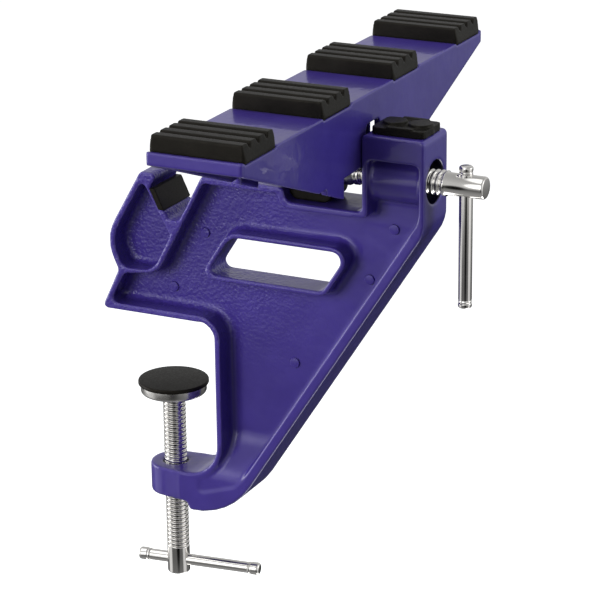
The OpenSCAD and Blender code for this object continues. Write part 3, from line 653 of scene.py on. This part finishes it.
def bars():
    """Both T-bars with their caps."""
    turn = math.radians(BAR_TURN)
    place = along_axis((0, 0, BAR_Z), (math.cos(turn), math.sin(turn), 0))
    low, high = BAR_SHIFT - BAR_L / 2, BAR_SHIFT + BAR_L / 2
    bar("clamp_tommy_bar", "clamp_bar", "clamp_bar", place, BAR_R, low, high, BAR_CAP)
    cap("clamp_cap_left", "clamp_bar_cap_left", "clamp_bar", place, BAR_R,
        low + BAR_CAP, low, BAR_CAP_GROWN)
    cap("clamp_cap_right", "clamp_bar_cap_right", "clamp_bar", place, BAR_R,
        high - BAR_CAP, high, BAR_CAP_GROWN)

    place = along_axis((KEY_X, 0, 0), (0, 0, 1))
    low, high = KEY_TOP - KEY_L, KEY_TOP
    bar("spindle_tommy_bar", "spindle_bar", "spindle_bar", place, KEY_R, low, high, KEY_CAP)
    cap("spindle_cap_top", "spindle_bar_cap_top", "spindle_bar", place, KEY_R,
        high - KEY_CAP, high, KEY_CAP_GROWN)
    cap("spindle_cap_bottom", "spindle_bar_cap_bottom", "spindle_bar", place, KEY_R,
        low + KEY_CAP, low, KEY_CAP_GROWN)


def carried_over():
    """CAD nodes that are shown as they are get their material here."""
    for node in ("foot_thread_nut", "tower_thread_nut", "clamp_shoe_clip", "press_shoe_clip"):
        mesh = NODES[node].data
        if mesh.materials:
            mesh.materials[0] = STEEL
        else:
            mesh.materials.append(STEEL)


# ---------------------------------------------------------------- camera, floor and light
def camera():
    """The unshifted camera that fits the photograph best."""
    yaw, pitch, roll = (math.radians(a) for a in (CAMERA_YAW, CAMERA_PITCH, CAMERA_ROLL))
    fwd = Vector((-math.sin(yaw) * math.cos(pitch), math.cos(yaw) * math.cos(pitch),
                  math.sin(pitch)))
    right = Vector((math.cos(yaw), math.sin(yaw), 0))
    up = right.cross(fwd)
    across = right * math.cos(roll) + up * math.sin(roll)
    above = up * math.cos(roll) - right * math.sin(roll)
    cam = bpy.data.objects.new("camera", bpy.data.cameras.new("camera"))
    turn = Matrix((across, above, -fwd)).transposed().to_4x4()
    cam.matrix_world = Matrix.Translation(CAMERA_PLACE) @ turn
    cam.data.sensor_width = 36
    cam.data.lens = CAMERA_LENS
    cam.data.clip_start, cam.data.clip_end = 0.05, 50
    bpy.context.scene.collection.objects.link(cam)
    bpy.context.scene.camera = cam


def area_light(name, place, size, power, colour):
    """A rectangular lamp aimed at the part. Gloss shows the room instead of the lamp."""
    data = bpy.data.lights.new(name, "AREA")
    data.shape = "RECTANGLE"
    data.size, data.size_y = size
    data.energy = power
    data.color = colour
    ob = bpy.data.objects.new(name, data)
    ob.location = place
    ob.rotation_mode = "QUATERNION"
    ob.rotation_quaternion = (Vector(LAMPS_AIM) - Vector(place)).to_track_quat("-Z", "Y")
    ob.visible_glossy = False
    bpy.context.scene.collection.objects.link(ob)


def card(nodes, links, coords, towards, wide, soft, strength):
    """A round patch of the room: 0 outside it, its strength inside, angles in degrees."""
    dot = nodes.new("ShaderNodeVectorMath")
    dot.operation = "DOT_PRODUCT"
    dot.inputs[1].default_value = Vector(towards).normalized()
    links.new(coords, dot.inputs[0])
    return fade(nodes, links, dot.outputs["Value"], math.cos(math.radians(wide + soft)),
                math.cos(math.radians(wide)), strength)


def room(nodes, links):
    """What gloss and metal show: light walls and ceiling, a darker band low down, and cards."""
    coords = nodes.new("ShaderNodeTexCoord").outputs["Generated"]
    split = nodes.new("ShaderNodeSeparateXYZ")
    links.new(coords, split.inputs[0])
    height = nodes.new("ShaderNodeMapRange")
    height.inputs["From Min"].default_value = -1
    height.inputs["From Max"].default_value = 1
    links.new(split.outputs["Z"], height.inputs["Value"])
    level = ramp(nodes, links, height.outputs[0], ROOM_LEVELS)
    for patch in DARK_CARDS:
        kept = without(nodes, links, card(nodes, links, coords, *patch))
        level = math_node(nodes, links, "MULTIPLY", level, kept)
    for patch in BRIGHT_CARDS:
        level = math_node(nodes, links, "ADD", level, card(nodes, links, coords, *patch))
    return level


def background(nodes, colour, strength):
    shader = nodes.new("ShaderNodeBackground")
    shader.inputs["Color"].default_value = colour
    shader.inputs["Strength"].default_value = strength
    return shader


def either(nodes, links, choice, no, yes):
    """A mix of two shaders' outputs: no where choice is 0, yes where it is 1."""
    mix = nodes.new("ShaderNodeMixShader")
    links.new(choice, mix.inputs["Fac"])
    links.new(no, mix.inputs[1])
    links.new(yes, mix.inputs[2])
    return mix.outputs[0]


def surroundings():
    """White to the camera, the room to gloss and glass, and a soft even light to all else."""
    scene = bpy.context.scene
    scene.view_settings.view_transform = "Standard"
    world = bpy.data.worlds.new("studio")
    scene.world = world
    world.use_nodes = True
    nodes, links = world.node_tree.nodes, world.node_tree.links
    nodes.clear()
    out = nodes.new("ShaderNodeOutputWorld")
    path = nodes.new("ShaderNodeLightPath").outputs
    white = background(nodes, (1, 1, 1, 1), 1.0)
    soft = background(nodes, SOFT_COLOUR, SOFT_LEVEL)
    shown = background(nodes, (1, 1, 1, 1), 1.0)
    links.new(room(nodes, links), shown.inputs["Color"])
    mirrored = math_node(nodes, links, "MAXIMUM", path["Is Glossy Ray"],
                         path["Is Transmission Ray"])
    indirect = either(nodes, links, mirrored, soft.outputs[0], shown.outputs[0])
    links.new(either(nodes, links, path["Is Camera Ray"], indirect, white.outputs[0]),
              out.inputs["Surface"])


def white_floor():
    """A floor that glows for the camera alone, so that it is as white as the background."""
    mesh = bpy.data.meshes.new("floor")
    s, z = FLOOR_HALF, FLOOR_Z
    mesh.from_pydata([(-s, -s, z), (s, -s, z), (s, s, z), (-s, s, z)], [], [(0, 1, 2, 3)])
    floor = bpy.data.objects.new("floor", mesh)
    bpy.context.scene.collection.objects.link(floor)
    mat, nodes, links, bsdf = new_material("floor")
    bsdf.inputs["Base Color"].default_value = (0.9, 0.9, 0.9, 1)
    bsdf.inputs["Roughness"].default_value = 0.9
    glow = nodes.new("ShaderNodeEmission")
    glow.inputs["Strength"].default_value = FLOOR_GLOW
    lit = nodes.new("ShaderNodeAddShader")
    links.new(bsdf.outputs[0], lit.inputs[0])
    links.new(glow.outputs[0], lit.inputs[1])
    path = nodes.new("ShaderNodeLightPath").outputs
    out = next(n for n in nodes if n.type == "OUTPUT_MATERIAL")
    links.new(either(nodes, links, path["Is Camera Ray"], bsdf.outputs[0], lit.outputs[0]),
              out.inputs["Surface"])
    mesh.materials.append(mat)
    floor.visible_glossy = floor.visible_diffuse = False


camera()
castings()
rubbers()
clamp_screw(SCREW_AXIS)
press_spindle(SPINDLE_AXIS)
clamp_shoe(SCREW_AXIS)
press_shoe(SPINDLE_AXIS)
bars()
carried_over()
surroundings()
for lamp in LAMPS:
    area_light(*lamp)
white_floor()
